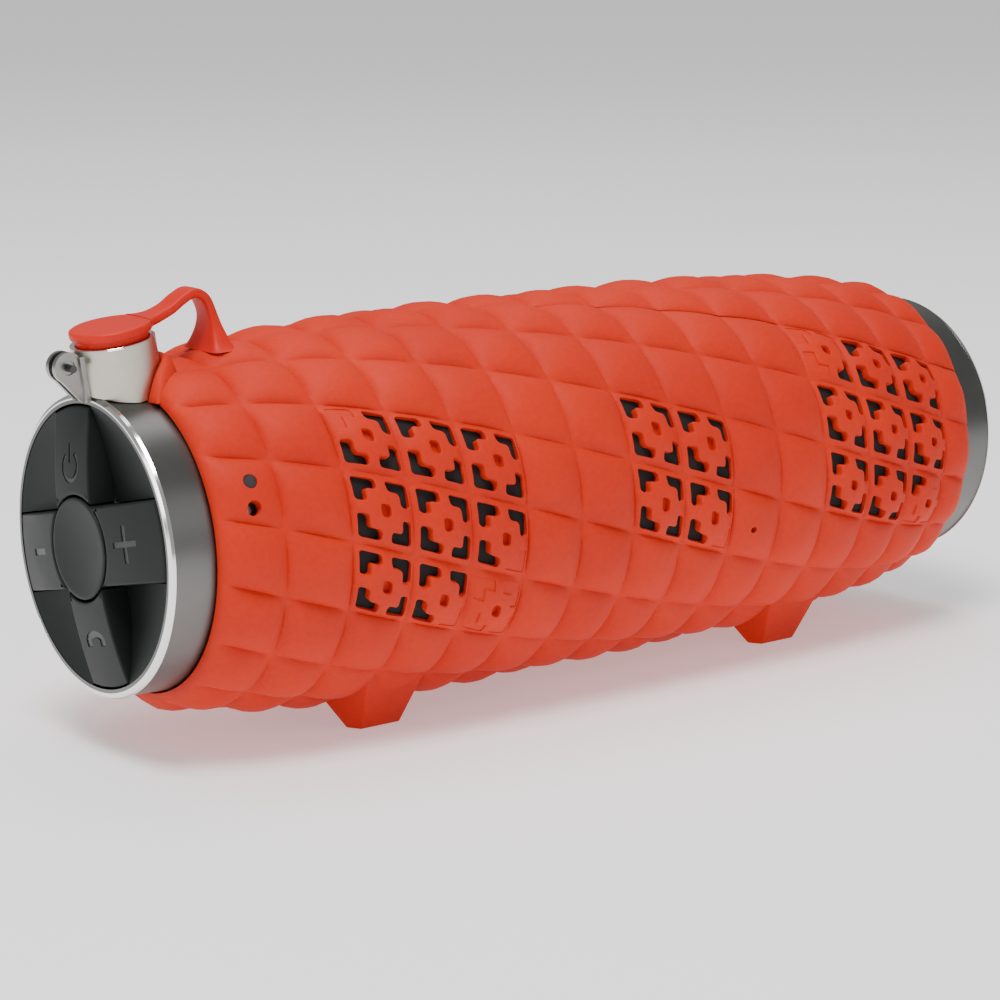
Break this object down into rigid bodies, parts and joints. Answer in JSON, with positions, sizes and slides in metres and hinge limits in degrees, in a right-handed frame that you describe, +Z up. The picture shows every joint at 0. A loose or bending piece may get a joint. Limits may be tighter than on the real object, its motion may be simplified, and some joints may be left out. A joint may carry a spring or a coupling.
{
  "type": "portable bluetooth speaker",
  "caption": "Barrel-shaped portable speaker in a quilted silicone sleeve, with a rubber keypad in one metal end band and a capped socket collar on top.",
  "frame": {"origin": "on the floor, under the middle of the whole object's box", "axes": "+X along the barrel towards the rear end, the keypad at -X; the sound windows face -Y; +Z up"},
  "size_m": [0.238, 0.085, 0.0952],
  "materials": {
    "sleeve": "matte moulded silicone",
    "cap": "soft satin silicone",
    "housing": "textured",
    "steel_screw": "zinc",
    "band": "satin gunmetal with a polished chamfer",
    "black_plastic": "moulded",
    "circuit_board": "solder mask",
    "switch_metal": "stamped",
    "keypad": "matte",
    "collar": "satin nickel",
    "lugs": "satin",
    "pin": "dark",
    "socket_metal": "stamped",
    "magnet_steel": "zinc plated",
    "surround": "matte",
    "cell_wrap": "shrink wrap",
    "foam": "open-cell foam",
    "can": "drawn",
    "chip": "moulded",
    "ribbon": "polyimide film",
    "lens": "frosted",
    "driver_steel": "black pressed steel",
    "ferrite": "sintered",
    "cone_paper": "pressed paper",
    "damper_cloth": "treated cloth",
    "sound_cloth": "woven acoustic cloth"
  },
  "bodies": {
    "speaker": {"silicone_sleeve": "sleeve", "cap_strap": "cap", "housing_front": "housing", "housing_back": "housing", "housing_screws": "steel_screw", "front_band": "band", "rear_band": "band", "band_screws": "steel_screw", "driver_rings": "black_plastic", "keypad_frame": "black_plastic", "rear_frame": "black_plastic", "keypad_board": "circuit_board", "keypad_screws": "steel_screw", "tact_switches": "switch_metal", "keypad_dish": "keypad", "rear_pad": "keypad", "port_collar": "collar", "strap_lugs": "lugs", "lug_pin": "pin", "port_insert": "black_plastic", "charge_socket": "socket_metal", "audio_socket": "black_plastic", "port_board": "circuit_board", "radiator_frame": "black_plastic", "radiator_surround": "surround", "radiator_ring": "black_plastic", "battery_cells": "cell_wrap", "battery_cradle": "black_plastic", "battery_pad": "foam", "main_board": "circuit_board", "board_screws": "steel_screw", "capacitors": "can", "bluetooth_module": "socket_metal", "amplifier_chip": "chip", "keypad_ribbon": "ribbon", "light_guide": "lens", "microphone": "socket_metal", "microphone_boot": "surround", "left_driver_basket": "driver_steel", "left_driver_magnet": "ferrite", "left_driver_yoke": "magnet_steel", "left_driver_surround": "surround", "left_driver_damper": "damper_cloth", "right_driver_basket": "driver_steel", "right_driver_magnet": "ferrite", "right_driver_yoke": "magnet_steel", "right_driver_surround": "surround", "right_driver_damper": "damper_cloth", "left_sound_cloth": "sound_cloth", "middle_sound_cloth": "sound_cloth", "right_sound_cloth": "sound_cloth"},
    "power_key_body": {"power_key": "keypad"},
    "minus_key_body": {"minus_key": "keypad"},
    "plus_key_body": {"plus_key": "keypad"},
    "call_key_body": {"call_key": "keypad"},
    "play_key_body": {"play_key": "keypad"},
    "cap": {"port_cap": "cap"},
    "left_cone": {"left_driver_cone": "cone_paper"},
    "right_cone": {"right_driver_cone": "cone_paper"},
    "radiator": {"radiator_plate": "magnet_steel"}
  },
  "joints": [
    {"name": "power_key_press", "type": "slide", "parent": "speaker", "child": "power_key_body", "axis": [1, 0, 0], "range_m": [0, 0.0005], "stiffness_N_per_m": 900, "springref_m": -0.0004},
    {"name": "minus_key_press", "type": "slide", "parent": "speaker", "child": "minus_key_body", "axis": [1, 0, 0], "range_m": [0, 0.0005], "stiffness_N_per_m": 900, "springref_m": -0.0004},
    {"name": "plus_key_press", "type": "slide", "parent": "speaker", "child": "plus_key_body", "axis": [1, 0, 0], "range_m": [0, 0.0005], "stiffness_N_per_m": 900, "springref_m": -0.0004},
    {"name": "call_key_press", "type": "slide", "parent": "speaker", "child": "call_key_body", "axis": [1, 0, 0], "range_m": [0, 0.0005], "stiffness_N_per_m": 900, "springref_m": -0.0004},
    {"name": "play_key_press", "type": "slide", "parent": "speaker", "child": "play_key_body", "axis": [1, 0, 0], "range_m": [0, 0.0005], "stiffness_N_per_m": 900, "springref_m": -0.0004},
    {"name": "cap_hinge", "type": "hinge", "parent": "speaker", "child": "cap", "pos_m": [-0.08231, 0, 0.0894], "axis": [0, 1, 0], "range_deg": [0, 110], "deforming": ["cap_strap"]},
    {"name": "left_cone_drive", "type": "slide", "parent": "speaker", "child": "left_cone", "axis": [0, -0.9792, 0.2031], "range_m": [-0.0008, 0.0008], "stiffness_N_per_m": 1500, "deforming": ["left_driver_surround", "left_driver_damper"]},
    {"name": "right_cone_drive", "type": "slide", "parent": "speaker", "child": "right_cone", "axis": [0, -0.9725, 0.2329], "range_m": [-0.0008, 0.0008], "stiffness_N_per_m": 1500, "deforming": ["right_driver_surround", "right_driver_damper"]},
    {"name": "radiator_drive", "type": "slide", "parent": "speaker", "child": "radiator", "axis": [0, -0.9761, 0.2171], "range_m": [-0.0015, 0.0015], "stiffness_N_per_m": 900, "deforming": ["radiator_surround"]}
  ]
}
